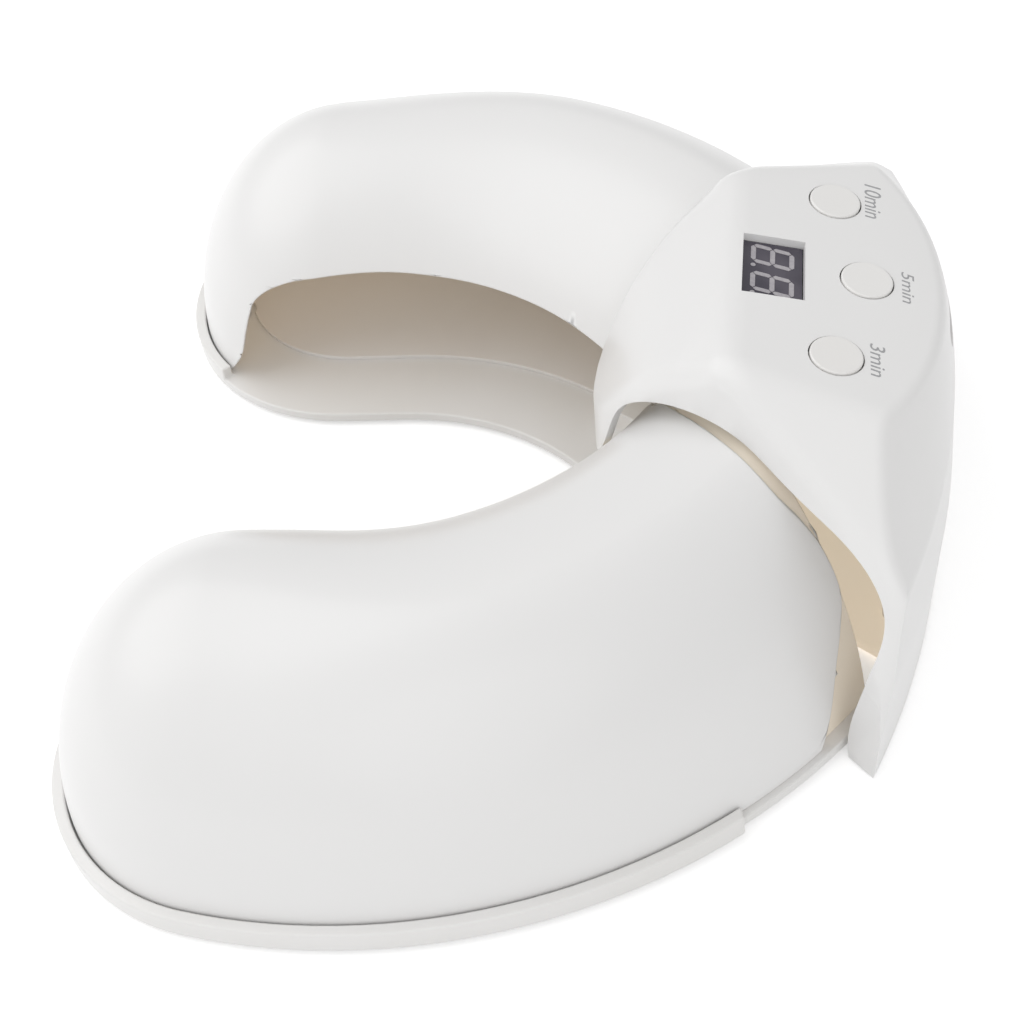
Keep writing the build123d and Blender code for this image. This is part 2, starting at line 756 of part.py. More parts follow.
with BuildPart() as near_lamp_board_screws:
    mirror(far_lamp_board_screws.part, about=Plane.XZ)
near_lamp_board_screws.part.label = "near_lamp_board_screws"
export_step(near_lamp_board_screws.part, "parts/near_lamp_board_screws.step")

with BuildPart() as far_arm_feet:
    with Locations(*[(x, y, 0) for x, y in arm_feet]):
        Cylinder(foot_diameter / 2, foot_height + foot_recess, align=on_base)
    fillet(far_arm_feet.edges().group_by(Axis.Z)[0], foot_edge_round)
far_arm_feet.part.label = "far_arm_feet"
export_step(far_arm_feet.part, "parts/far_arm_feet.step")

with BuildPart() as near_arm_feet:
    mirror(far_arm_feet.part, about=Plane.XZ)
near_arm_feet.part.label = "near_arm_feet"
export_step(near_arm_feet.part, "parts/near_arm_feet.step")

# Hub cover, one shell with an arch for each arm
button_places = ((side_button_x, side_button_y), (center_button_x, 0.0), (side_button_x, -side_button_y))
cover_boss_places = ((front_boss_x, 0.0), (back_boss_x, back_boss_y), (back_boss_x, -back_boss_y))
board_screw_places = [(sx * board_screw_x, sy * board_screw_y) for sx in (-1, 1) for sy in (-1, 1)]
inlet_plane = plateau_plane(cover_levels[1][3], 0, board_depth - inlet_height / 2)
tunnel = arch_tunnel()
cover_hollow = cover_form(cover_wall)

with BuildPart() as hub_cover:
    add(rounded_cover())
    add(cover_hollow, mode=Mode.SUBTRACT)
    add(tunnel, mode=Mode.SUBTRACT)
    add(tunnel.mirror(Plane.XZ), mode=Mode.SUBTRACT)
    # bosses for the cover screws and the board screws
    with BuildPart(mode=Mode.PRIVATE) as posts:
        with Locations(*[(x, y, hub_floor_top) for x, y in cover_boss_places]):
            Cylinder(boss_diameter / 2, 2 * plateau_z, align=on_base)
        for u, v in board_screw_places:
            with Locations(plateau_plane(board_center_x, 0, board_depth) * Location((u, v, 0))):
                Cylinder(boss_diameter / 2, board_depth, align=on_base)
        add(cover_form(cover_wall / 2), mode=Mode.INTERSECT)
    add(posts.part)
    with Locations(*[(x, y, hub_floor_top) for x, y in cover_boss_places]):
        Cylinder(screw_shank_diameter / 2, screw_bite, align=on_base, mode=Mode.SUBTRACT)
    for u, v in board_screw_places:
        with Locations(plateau_plane(board_center_x, 0, board_depth) * Location((u, v, 0))):
            Cylinder(screw_shank_diameter / 2, board_bite, align=on_base, mode=Mode.SUBTRACT)
    # holes for the buttons, the display and the inlet
    for x, y in button_places:
        with Locations(plateau_plane(x, y)):
            Cylinder(button_diameter / 2 + button_gap, 2 * board_depth, mode=Mode.SUBTRACT)
    with Locations(plateau_plane(display_x)):
        Box(
            display_height + 2 * display_fit,
            display_width + 2 * display_fit,
            2 * board_depth,
            mode=Mode.SUBTRACT,
        )
    with BuildSketch(Plane(origin=inlet_plane.origin, x_dir=(0, 1, 0), z_dir=inlet_plane.x_dir)):
        SlotOverall(inlet_slot_width, inlet_slot_height)
    extrude(amount=inlet_slot_reach, both=True, mode=Mode.SUBTRACT)
hub_cover.part.label = "hub_cover"
export_step(hub_cover.part, "parts/hub_cover.step")

# Hub floor: a fan from round the hinges to the back wall
floor_level = cover_levels[0]
with BuildPart() as hub_base:
    with BuildSketch(Plane.XY.offset(foot_height)):
        with BuildLine():
            Polyline(
                (hinge_x, -hinge_y),
                polar((hinge_x, -hinge_y), far_past, -hub_wedge_deg),
                polar(hinge, far_past, hub_wedge_deg),
                hinge,
                close=True,
            )
        make_face()
        with BuildSketch(mode=Mode.INTERSECT):
            add(cover_plan(*floor_level[1:], cover_wall + hub_side_gap))
            make_face()
        with Locations((hinge_x, hinge_y), (hinge_x, -hinge_y)):
            Circle(hub_disc_radius)
    extrude(amount=hub_floor_thickness)
    with Locations(*[(x, y, 0) for x, y in cover_boss_places]):
        Cylinder(screw_shank_diameter / 2 + screw_hole_fit, through, mode=Mode.SUBTRACT)
        Cylinder(screw_head_diameter / 2 + screw_hole_fit, foot_height + screw_head_height - hub_screw_sink,
                 align=on_base, mode=Mode.SUBTRACT)
    with Locations((hinge_x, hinge_y, 0), (hinge_x, -hinge_y, 0)):
        Cylinder(screw_shank_diameter / 2 + screw_hole_fit, through, mode=Mode.SUBTRACT)
        Cylinder(screw_head_diameter / 2 + screw_hole_fit, foot_height + screw_head_height - hub_screw_sink,
                 align=on_base, mode=Mode.SUBTRACT)
    with Locations(*[(x, y, 0) for x, y in hub_feet_places]):
        Cylinder(foot_diameter / 2, foot_height + foot_recess, align=on_base, mode=Mode.SUBTRACT)
hub_base.part.label = "hub_base"
export_step(hub_base.part, "parts/hub_base.step")

with BuildPart() as hub_feet:
    with Locations(*[(x, y, 0) for x, y in hub_feet_places]):
        Cylinder(foot_diameter / 2, foot_height + foot_recess, align=on_base)
    fillet(hub_feet.edges().group_by(Axis.Z)[0], foot_edge_round)
hub_feet.part.label = "hub_feet"
export_step(hub_feet.part, "parts/hub_feet.step")

cover_shank = hub_floor_thickness - screw_head_height + screw_bite - screw_end_gap
with BuildPart() as cover_screws:
    with Locations(*[(x, y, foot_height - hub_screw_sink) for x, y in cover_boss_places]):
        add(screw_up(cover_shank))
cover_screws.part.label = "cover_screws"
export_step(cover_screws.part, "parts/cover_screws.step")

# Hinge posts, each held by a screw from below and closed by a washer and a screw on top
with BuildPart() as far_hinge_post:
    with Locations((*hinge, hub_floor_top)):
        Cylinder(post_flange_diameter / 2, post_flange_thickness, align=on_base)
        Cylinder(post_diameter / 2, post_top - hub_floor_top, align=on_base)
        Cylinder(screw_shank_diameter / 2, post_screw_bite, align=on_base, mode=Mode.SUBTRACT)
    with Locations((*hinge, post_top)):
        Cylinder(screw_shank_diameter / 2, post_screw_bite, mode=Mode.SUBTRACT, align=under)
far_hinge_post.part.label = "far_hinge_post"
export_step(far_hinge_post.part, "parts/far_hinge_post.step")

with BuildPart() as near_hinge_post:
    mirror(far_hinge_post.part, about=Plane.XZ)
near_hinge_post.part.label = "near_hinge_post"
export_step(near_hinge_post.part, "parts/near_hinge_post.step")

with BuildPart() as post_screws:
    with Locations(*[(hinge_x, side * hinge_y, foot_height - hub_screw_sink) for side in (-1, 1)]):
        add(screw_up(hub_floor_thickness - screw_head_height + post_screw_bite - screw_end_gap))
post_screws.part.label = "post_screws"
export_step(post_screws.part, "parts/post_screws.step")

with BuildPart() as hinge_washers:
    with Locations((hinge_x, hinge_y, post_top), (hinge_x, -hinge_y, post_top)):
        Cylinder(washer_diameter / 2, washer_thickness, align=on_base)
        Cylinder(
            screw_shank_diameter / 2 + screw_hole_fit,
            washer_thickness,
            align=on_base,
            mode=Mode.SUBTRACT,
        )
hinge_washers.part.label = "hinge_washers"
export_step(hinge_washers.part, "parts/hinge_washers.step")

with BuildPart() as hinge_screws:
    for side in (-1, 1):
        place = Plane(origin=(hinge_x, side * hinge_y, post_top + washer_thickness + screw_head_height),
                      z_dir=(0, 0, -1))
        with Locations(place):
            add(screw_up(washer_thickness + post_screw_bite - screw_end_gap))
hinge_screws.part.label = "hinge_screws"
export_step(hinge_screws.part, "parts/hinge_screws.step")

# Control board, hung under the sloping top, with what is soldered to it
board_top = plateau_plane(board_center_x, 0, board_depth)
with BuildPart() as control_board:
    with Locations(board_top):
        Box(board_length, board_width, board_thickness, align=under)
    for u, v in board_screw_places:
        with Locations(board_top * Location((u, v, 0))):
            Cylinder(screw_shank_diameter / 2 + screw_hole_fit, through, mode=Mode.SUBTRACT)
control_board.part.label = "control_board"
export_step(control_board.part, "parts/control_board.step")

with BuildPart() as board_screws:
    for u, v in board_screw_places:
        with Locations(board_top * Location((u, v, -board_thickness - screw_head_height))):
            add(screw_up(board_thickness + board_bite - screw_end_gap))
board_screws.part.label = "board_screws"
export_step(board_screws.part, "parts/board_screws.step")

with BuildPart() as display_module:
    with Locations(plateau_plane(display_x, 0, board_depth)):
        Box(display_height, display_width, board_depth - display_recess, align=on_base)
display_module.part.label = "display_module"
export_step(display_module.part, "parts/display_module.step")


digit_lean = tan(radians(digit_slant_deg))
digit_quarter = (digit_height - segment_width) / 4


def bar_corners(length, place_x, place_y, upright):
    # one bar of a digit with pointed ends, leaning with the digit, whose middle is at the origin
    half = segment_width / 2
    run = length / 2
    above = [(-run, 0), (half - run, half), (run - half, half)]
    corners = above + [(-x, -y) for x, y in above]
    if upright:
        corners = [(-y, x) for x, y in corners]
    return [(place_x + x + (place_y + y) * digit_lean, place_y + y) for x, y in corners]


def digit_bars():
    wide = digit_width - segment_width - segment_gap
    tall = 2 * digit_quarter - segment_gap
    side = (digit_width - segment_width) / 2
    bars = [bar_corners(wide, 0, k * 2 * digit_quarter, False) for k in (-1, 0, 1)]
    bars += [bar_corners(tall, sx * side, sy * digit_quarter, True) for sx in (-1, 1) for sy in (-1, 1)]
    return bars


face_plane = plateau_plane(display_x, 0, display_recess)
reading = Plane(origin=face_plane.origin, x_dir=(0, -1, 0), z_dir=face_plane.z_dir)
point_place = ((digit_width - segment_width) / 2 + point_offset, -2 * digit_quarter)
with BuildPart() as display_segments:
    for middle in (-digit_pitch / 2 - digit_shift, digit_pitch / 2 - digit_shift):
        with BuildSketch(reading):
            for corners in digit_bars():
                with BuildLine():
                    Polyline([(middle + x, y) for x, y in corners], close=True)
                make_face()
            with Locations((middle + point_place[0] + point_place[1] * digit_lean, point_place[1])):
                Circle(segment_width / 2)
        extrude(amount=segment_proud)
display_segments.part.label = "display_segments"
export_step(display_segments.part, "parts/display_segments.step")

with BuildPart() as tact_switches:
    for x, y in button_places:
        with Locations(plateau_plane(x, y, board_depth)):
            Box(switch_size, switch_size, switch_height, align=on_base)
tact_switches.part.label = "tact_switches"
export_step(tact_switches.part, "parts/tact_switches.step")

mouth_place = plateau_plane(socket_x, 0, board_depth) * Location((inlet_length / 2, 0, inlet_height / 2))
mouth = Plane(
    origin=mouth_place.position,
    x_dir=(0, 1, 0),
    z_dir=board_top.x_dir,
)
with BuildPart() as charging_socket:
    with BuildSketch(mouth):
        SlotOverall(inlet_width, inlet_height)
    extrude(amount=-inlet_length)
    with BuildSketch(mouth):
        SlotOverall(inlet_width - 2 * inlet_wall, inlet_height - 2 * inlet_wall)
    extrude(amount=inlet_floor - inlet_length, mode=Mode.SUBTRACT)
    with BuildSketch(mouth):
        Rectangle(inlet_tongue_width, inlet_tongue)
    extrude(amount=-inlet_length)
charging_socket.part.label = "charging_socket"
export_step(charging_socket.part, "parts/charging_socket.step")

with BuildPart() as controller_chip:
    with Locations(board_top * Location((*chip_place, -board_thickness))):
        Box(chip_size, chip_size, chip_height, align=under)
controller_chip.part.label = "controller_chip"
export_step(controller_chip.part, "parts/controller_chip.step")

with BuildPart() as arm_connectors:
    for side in (-1, 1):
        place = (connector_place[0], side * connector_place[1], -board_thickness)
        with Locations(board_top * Location(place)):
            Box(*connector_size, align=under)
arm_connectors.part.label = "arm_connectors"
export_step(arm_connectors.part, "parts/arm_connectors.step")

stem_bottom = board_depth - switch_height - button_travel - button_gap / 2
flange_top_depth = cover_wall + button_flange_gap


def button_body(x, y):
    flange_plane = plateau_plane(x, y, flange_top_depth)
    with BuildPart() as body:
        with Locations(flange_plane):
            Cylinder(button_diameter / 2, flange_top_depth + button_lift, align=on_base)
        fillet(body.edges().filter_by(GeomType.CIRCLE).sort_by(Axis.Z)[-1], button_edge_round)
        with Locations(flange_plane):
            Cylinder(button_diameter / 2 + button_flange_overhang, button_flange_thickness, align=under)
            Cylinder(stem_diameter / 2, stem_bottom - flange_top_depth, align=under)
    return body.part


with BuildPart() as button_10:
    add(button_body(*button_places[0]))
button_10.part.label = "button_10"
export_step(button_10.part, "parts/button_10.step")

with BuildPart() as button_5:
    add(button_body(*button_places[1]))
button_5.part.label = "button_5"
export_step(button_5.part, "parts/button_5.step")

with BuildPart() as button_3:
    add(button_body(*button_places[2]))
button_3.part.label = "button_3"
export_step(button_3.part, "parts/button_3.step")
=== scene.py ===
from math import cos, radians, sin, sqrt

import bmesh
import bpy
from mathutils import Matrix, Vector


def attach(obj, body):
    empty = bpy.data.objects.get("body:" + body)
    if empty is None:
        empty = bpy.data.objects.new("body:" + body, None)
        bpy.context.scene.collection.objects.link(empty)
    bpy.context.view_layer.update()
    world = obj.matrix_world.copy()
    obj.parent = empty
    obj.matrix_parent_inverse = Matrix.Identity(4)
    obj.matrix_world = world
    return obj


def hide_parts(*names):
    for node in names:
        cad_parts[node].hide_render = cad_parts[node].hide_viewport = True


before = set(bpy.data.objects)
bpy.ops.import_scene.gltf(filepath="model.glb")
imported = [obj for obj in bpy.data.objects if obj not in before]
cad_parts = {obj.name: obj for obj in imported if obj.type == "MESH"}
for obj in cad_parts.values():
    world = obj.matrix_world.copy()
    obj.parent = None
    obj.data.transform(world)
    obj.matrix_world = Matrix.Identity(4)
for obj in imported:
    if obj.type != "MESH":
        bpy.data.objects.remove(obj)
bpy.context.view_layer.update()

mm = 0.001

# The camera of the photograph, found from the lamp's plan: millimetres, degrees and pixels
camera_place = (81.35, -364.28, 380.94)
camera_down = 45.64
camera_yaw = 13.33
camera_roll = -10.37
focal_pixels = 2057.0
image_pixels = 1024.0
sensor_width = 36.0
clip_start = 0.01  # metres


class Value:
    """An output socket that adds Math nodes when it is computed with."""

    def __init__(self, shader, socket):
        self.shader = shader
        self.socket = socket

    def __add__(self, other):
        return self.shader.node("ShaderNodeMath", {"operation": "ADD"}, {0: self, 1: other})

    def __mul__(self, other):
        return self.shader.node("ShaderNodeMath", {"operation": "MULTIPLY"}, {0: self, 1: other})

    def ramp(self, low, high):
        settings = {"clamp": True, "interpolation_type": "SMOOTHSTEP"}
        return self.shader.node("ShaderNodeMapRange", settings, {0: self, 1: low, 2: high})


class Shader:
    """A material with a Principled shader, and one method that adds any other node."""

    def __init__(self, name, color, roughness, **constants):
        self.material = bpy.data.materials.new(name)
        self.material.use_nodes = True
        self.tree = self.material.node_tree
        self.surface = self.tree.nodes["Principled BSDF"]
        self.set("Base Color", (*color, 1.0))
        self.set("Roughness", roughness)
        for socket, value in constants.items():
            self.set(socket.replace("_", " "), value)
        self.material.diffuse_color = (*color, 1.0)

    def set(self, socket, value):
        if isinstance(value, Value):
            self.tree.links.new(value.socket, self.surface.inputs[socket])
        else:
            self.surface.inputs[socket].default_value = value

    def node(self, kind, settings=None, inputs=None, output=0):
        node = self.tree.nodes.new(kind)
        for name, value in (settings or {}).items():
            setattr(node, name, value)
        for key, value in (inputs or {}).items():
            if isinstance(value, Value):
                self.tree.links.new(value.socket, node.inputs[key])
            else:
                node.inputs[key].default_value = value
        return Value(self, node.outputs[output])

    def place(self):
        return self.node("ShaderNodeTexCoord", output="Object")

    def noise(self, size, detail=2.0, rough=0.5):
        # size is the width of a typical patch, in metres
        inputs = {"Vector": self.place(), "Scale": 1.0 / size, "Detail": detail, "Roughness": rough}
        return self.node("ShaderNodeTexNoise", None, inputs)

    def blend(self, factor, first, second):
        # a colour between two colours
        settings = {"data_type": "RGBA"}
        inputs = {0: factor, 6: as_color(first), 7: as_color(second)}
        return self.node("ShaderNodeMix", settings, inputs, output=2)

    def bump(self, height, distance):
        # distance is how far a height of 1 stands out, in metres
        inputs = {"Height": height, "Distance": distance, "Strength": 1.0}
        return self.node("ShaderNodeBump", None, inputs)


def as_color(value):
    return value if isinstance(value, Value) else (*value, 1.0)


# Moulded plastic: the widths of its patches and its orange peel in metres, and how strong they are
tint_width = 0.045
gloss_width = 0.02
gloss_spread = 0.02
peel_width = 0.0012
peel_height = 0.35
peel_depth = 0.000004


def moulded_plastic(name, color, tint, roughness, **constants):
    # ABS with a faint unevenness of colour and gloss, and the fine orange peel of a polished mould
    shader = Shader(name, color, roughness, **constants)
    cloud = shader.noise(tint_width, detail=3.0)
    shader.set("Base Color", shader.blend(cloud.ramp(low=0.3, high=0.75), color, tint))
    gloss = shader.noise(gloss_width, detail=1.0)
    shader.set("Roughness", gloss * gloss_spread + (roughness - gloss_spread / 2))
    shader.set("Normal", shader.bump(shader.noise(peel_width) * peel_height, peel_depth))
    return shader.material


def board_material(name, color, trace):
    # solder mask over copper, with faint straight traces
    shader = Shader(name, color, 0.35, Specular_IOR_Level=0.5)
    bricks_per_metre = 160.0
    inputs = {"Vector": shader.place(), "Scale": bricks_per_metre}
    lines = shader.node("ShaderNodeTexBrick", None, inputs, output=1)
    patch = shader.noise(0.01).ramp(low=0.52, high=0.56)
    shader.set("Base Color", shader.blend(lines * patch, color, trace))
    shader.set("Normal", shader.bump(lines * patch, distance=0.00003))
    return shader.material


def metal_material(name, color, roughness, grain):
    # fine scratches, which dull the metal where they lie
    shader = Shader(name, color, roughness, Metallic=1.0)
    scratch = shader.noise(grain, detail=4.0, rough=0.7)
    shader.set("Roughness", scratch * 0.25 + (roughness - 0.1))
    shader.set("Normal", shader.bump(scratch, distance=0.00002))
    return shader.material


def speckled(name, color, roughness, noise, ramp, tones, depth=None, gloss=None, **constants):
    # a material that goes from one tone to another by a noise, which may also stand out by depth, in
    # metres, and change the roughness: gloss is how far, and from which value
    shader = Shader(name, color, roughness, **constants)
    grain = shader.noise(**noise)
    shader.set("Base Color", shader.blend(grain.ramp(*ramp), *tones))
    if gloss:
        shader.set("Roughness", grain * gloss[0] + gloss[1])
    if depth:
        shader.set("Normal", shader.bump(grain, depth))
    return shader.material


shell_tones = ((0.86, 0.855, 0.85), (0.858, 0.853, 0.847))
white_shell = moulded_plastic("white_abs_gloss", *shell_tones, 0.3)
white_hub = moulded_plastic("white_abs_hub", *shell_tones, 0.3)
white_tray = moulded_plastic("white_abs_tray", (0.86, 0.85, 0.84), (0.84, 0.83, 0.81), 0.3)
print_ink = speckled("print_ink", (0.33, 0.33, 0.34), 0.5, {"size": 0.0005, "detail": 3.0}, (0.3, 0.7),
                     ((0.34, 0.34, 0.35), (0.42, 0.42, 0.43)))
# Painted light: the inner sides get a warm beige tint and a faint glow, painted in place of the warm light
# bounced round inside the hollows; the hub's inside glows more strongly
painted_glow_color = (1.0, 0.84, 0.66, 1.0)
inside_painted_glow = moulded_plastic("warm_white_inside_painted_glow", (0.86, 0.80, 0.70), (0.84, 0.77, 0.66), 0.42,
                              Emission_Color=painted_glow_color, Emission_Strength=0.12)
hub_inside_painted_glow = moulded_plastic("warm_white_hub_inside_painted_glow", (0.86, 0.80, 0.68), (0.84, 0.77, 0.64), 0.45,
                             Emission_Color=painted_glow_color, Emission_Strength=0.4)
panel_white = moulded_plastic("white_panel", (0.86, 0.84, 0.82), (0.84, 0.81, 0.785), 0.36)
white_button = moulded_plastic("white_button_cap", (0.87, 0.86, 0.845), (0.86, 0.845, 0.825), 0.3)
# The dark filter in front of the digits, their bars, a white LED with its phosphor, and the feet
display_filter = speckled("display_filter", (0.05, 0.042, 0.065), 0.22, {"size": 0.012}, (0.35, 0.7),
                          ((0.042, 0.036, 0.056), (0.085, 0.075, 0.1)), gloss=(0.12, 0.18), Coat_Weight=0.3)
display_bar = speckled("display_segment", (0.42, 0.4, 0.42), 0.45, {"size": 0.0009}, (0.3, 0.7),
                       ((0.40, 0.38, 0.41), (0.47, 0.45, 0.47)), depth=0.00003)
led_package = speckled("led_package", (0.85, 0.83, 0.76), 0.3, {"size": 0.0008}, (0.4, 0.6),
                       ((0.86, 0.84, 0.78), (0.82, 0.76, 0.5)), gloss=(0.2, 0.2))
rubber_foot = speckled("rubber_foot", (0.62, 0.62, 0.6), 0.75,
                       {"size": 0.0006, "detail": 3.0, "rough": 0.7}, (0.35, 0.7),
                       ((0.58, 0.58, 0.56), (0.68, 0.68, 0.66)), depth=0.00006)
materials = {
    "white_shell": white_shell,
    "white_tray": white_tray,
    "white_button": white_button,
    "panel": panel_white,
    "board": board_material("green_board", (0.03, 0.16, 0.07), (0.05, 0.24, 0.11)),
    "white_board": board_material("white_lamp_board", (0.78, 0.78, 0.76), (0.7, 0.7, 0.68)),
    "display": display_filter,
    "segment": display_bar,
    "chip": moulded_plastic("chip_epoxy", (0.03, 0.03, 0.032), (0.045, 0.045, 0.046), 0.5),
    "lamp": led_package,
    "socket": metal_material("socket_shell", (0.62, 0.62, 0.63), 0.32, 0.002),
    "steel": metal_material("zinc_steel", (0.6, 0.61, 0.63), 0.35, 0.0015),
    "post": metal_material("turned_steel", (0.55, 0.56, 0.58), 0.3, 0.001),
    "brass": metal_material("brass_bush", (0.72, 0.55, 0.26), 0.32, 0.001),
    "rubber": rubber_foot,
    "connector": moulded_plastic("connector_nylon", (0.8, 0.77, 0.68), (0.77, 0.73, 0.63), 0.5),
}
node_materials = {
    "hub_cover": "white_shell",
    "hub_base": "white_tray",
    "control_board": "board",
    "display_module": "display",
    "display_segments": "segment",
    "tact_switches": "chip",
    "charging_socket": "socket",
    "controller_chip": "chip",
    "arm_connectors": "connector",
    "board_screws": "steel",
    "cover_screws": "steel",
    "hub_feet": "rubber",
    "post_screws": "steel",
    "hinge_washers": "steel",
    "hinge_screws": "steel",
    "button_10": "white_button",
    "button_5": "white_button",
    "button_3": "white_button",
}
side_materials = {
    "hinge_post": "post",
    "hinge_bush": "brass",
    "arm_shell": "white_shell",
    "arm_base": "white_tray",
    "floor_panel": "panel",
    "lamp_board": "white_board",
    "lamps": "lamp",
    "lamp_board_screws": "steel",
    "tray_screws": "steel",
    "arm_feet": "rubber",
}
for side in ("far", "near"):
    for name, material in side_materials.items():
        node_materials[f"{side}_{name}"] = material


def dress(node_name, material):
    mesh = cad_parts[node_name].data
    mesh.materials.clear()
    mesh.materials.append(material)


# All from here to the labels is in millimetres and degrees.
# Plan of the far arm: an outer circle, an inner circle and a round tip
tip_radius = 50.0
tip_x = -54.8
inner_edge_y = 31.9
outer_radius = 149.5
outer_tangent_deg = 101.8
inner_radius = 69.3
inner_center_x = -37.5
hinge = (36.0, 13.0)
mirror_gap = 2.5

# Section of the dome: heights, wall, where the crest lies, and how full each half is
floor_top = 4.0
crest_height = 63.3
shell_inset = 3.4
shell_wall = 2.2
hollow_sunk = 2.0
crest_share = 0.594
inner_fullness = 2.0
outer_fullness = 1.67
tip_fullness = 1.9
tip_blend_length = 60.0
outer_blend_length = 110.0
neck_step = 1.8
neck_overlap = 3.0

# Rows and steps of the dome's grid
dome_from_deg = 4.0
arc_rows = 72
straight_rows = 12
tip_rows = 60
across_steps = 26

# Bosses for the screws of the tray and of the lamp board
tray_boss_degs = (52.0, 74.0, 96.0)
tray_boss_inset = 9.5
tip_boss_degs = (150.0, 190.0)
lamp_boss_degs = (46.0, 66.0, 86.0)
lamp_board_top = 49.6
lamp_board_shift = -5.0
boss_radius = 3.0
boss_reach = 26.0
boss_sides = 20
boss_sink = 1.0

# Cuts: the way in for the fingers seen from the side (x, z), and the end edge (out from the hinge, z)
opening_points = ((34, 36), (20.6, 36.5), (5.3, 37.9), (-21.8, 39.7), (-42, 41), (-59.5, 39.8),
                  (-68.6, 37.1), (-74.9, 32.9), (-77.7, 28.7), (-80.5, 21.6), (-83.7, 13), (-91.0, 2))
opening_steps = 8
opening_start = -10.0
opening_reach = 80.0
end_edge_deg = 50.0
end_edge_points = ((-15, 2), (-10.3, 11.4), (-5.5, 22), (-1.2, 29), (2.4, 36), (2.2, 45), (0.4, 51.3),
                   (-2.4, 57.6), (-6, 70))
end_edge_steps = 6
end_cut_foot = -2.0
end_cut_reach = 150.0
hinge_cut_from_deg = -90.0
hinge_cut_to_deg = 47.0
hinge_cut_steps = 8
under_all = -20.0
over_all = 100.0
far_past = 400.0

# Edges: what counts as one point or as flat, and how sharp edges are shaded and rounded
weld_distance = 0.01
flat_distance = 0.005
node_weld_distance = 0.002
shortest_edge = 0.45
flattest_face = 0.05
flat_within_deg = 0.4
sharp_from_deg = 35.0
round_from_deg = 40.0
round_segments = 3
shell_edge_width = 0.6
cover_edge_width = 0.5
tray_edge_width = 0.6
panel_edge_width = 0.3
cover_middle = (60.0, 0.0, 40.0)

# The sloping top of the hub, through a point at (plateau_x, plateau_z)
plateau_slope = 0.25
plateau_x = 86.3
plateau_z = 72.8

# Printed words by the buttons: words, base and top of the letters (x), start and end (y)
labels = (("label_10", "10min", 86.2, 90.1, 35.6, 22.9), ("label_5", "5min", 94.1, 96.9, 5.1, -5.7),
          ("label_3", "3min", 86.6, 89.9, -21.1, -31.7))
label_slant = 0.22
label_lift = 0.06
label_sink = 0.03
label_extrude = 0.01
label_curve_steps = 6

# The studio: metres, brightness from 0 to 1, and each light's name, place, size and power
floor_size = 6.0
floor_grey = 0.86
floor_roughness = 0.9
floor_glow = 0.42
world_light = 0.64
world_seen = 1.0
light_target = (0.0, 0.0, 0.03)
lights = (("key_light", (-0.75, 0.1, 0.95), 1.5, 6.0), ("fill_light", (0.3, -1.1, 0.6), 1.2, 2.6))

tip_center = (tip_x, inner_edge_y + tip_radius)
outer_center = (
    tip_center[0] - (outer_radius - tip_radius) * cos(radians(outer_tangent_deg)),
    tip_center[1] - (outer_radius - tip_radius) * sin(radians(outer_tangent_deg)),
)
inner_center = (inner_center_x, inner_edge_y - inner_radius)
pole = ((outer_center[0] + inner_center[0]) / 2, (outer_center[1] + inner_center[1]) / 2)


def ray_point(start, angle, reach):
    return (start[0] + reach * cos(radians(angle)), start[1] + reach * sin(radians(angle)))


def ray_circle(start, angle, center, radius):
    # distance along a ray to the far side of a circle
    dx = start[0] - center[0]
    dy = start[1] - center[1]
    b = dx * cos(radians(angle)) + dy * sin(radians(angle))
    return -b + sqrt(b * b - dx * dx - dy * dy + radius * radius)


def ease(share):
    # 0 up to share 0, 1 from share 1, and smooth between
    share = min(max(share, 0.0), 1.0)
    return share * share * (3 - 2 * share)


def smooth_through(points, steps):
    # a smooth curve through points of any dimension, by Catmull and Rom
    first = [2 * a - b for a, b in zip(points[0], points[1])]
    last = [2 * a - b for a, b in zip(points[-1], points[-2])]
    padded = [first, *points, last]
    curve = []
    for i in range(1, len(padded) - 2):
        for step in range(steps):
            t = step / steps
            before, start, end, after = padded[i - 1:i + 3]
            curve.append([
                0.5 * (2 * q + (r - p) * t + (2 * p - 5 * q + 4 * r - s) * t * t
                       + (3 * q - p - 3 * r + s) * t ** 3)
                for p, q, r, s in zip(before, start, end, after)
            ])
    curve.append(list(points[-1]))
    return curve


def crest_between(near, far, along, inset):
    # at a length along the arm from the tip's centre: the place of the crest between the inner and the
    # outer foot, the widths to the two, and how much each half has turned into the tip's
    tipness = ease(1 - along / tip_blend_length)
    share = crest_share + ((tip_radius - inset) / (far - near) - crest_share) * tipness
    crest = near + share * (far - near)
    return crest, (crest - near, far - crest, tipness, ease(1 - along / outer_blend_length))


def dome_sections(inset):
    # each section: place of the crest, direction, and the last four values of crest_between
    sections = []
    straight = pole[0] - tip_x
    for i in range(arc_rows + 1):
        angle = dome_from_deg + (90.0 - dome_from_deg) * i / arc_rows
        near = ray_circle(pole, angle, inner_center, inner_radius + inset)
        far = ray_circle(pole, angle, outer_center, outer_radius - inset)
        along = straight + radians(90.0 - angle) * (near + far) / 2
        crest, shape = crest_between(near, far, along, inset)
        sections.append((*ray_point(pole, angle, crest), angle, *shape))
    for i in range(1, straight_rows + 1):
        x = pole[0] - straight * i / straight_rows
        far = outer_center[1] + sqrt((outer_radius - inset) ** 2 - (x - outer_center[0]) ** 2)
        crest, shape = crest_between(inner_edge_y + inset, far, x - tip_x, inset)
        sections.append((x, crest, 90.0, *shape))
    return sections


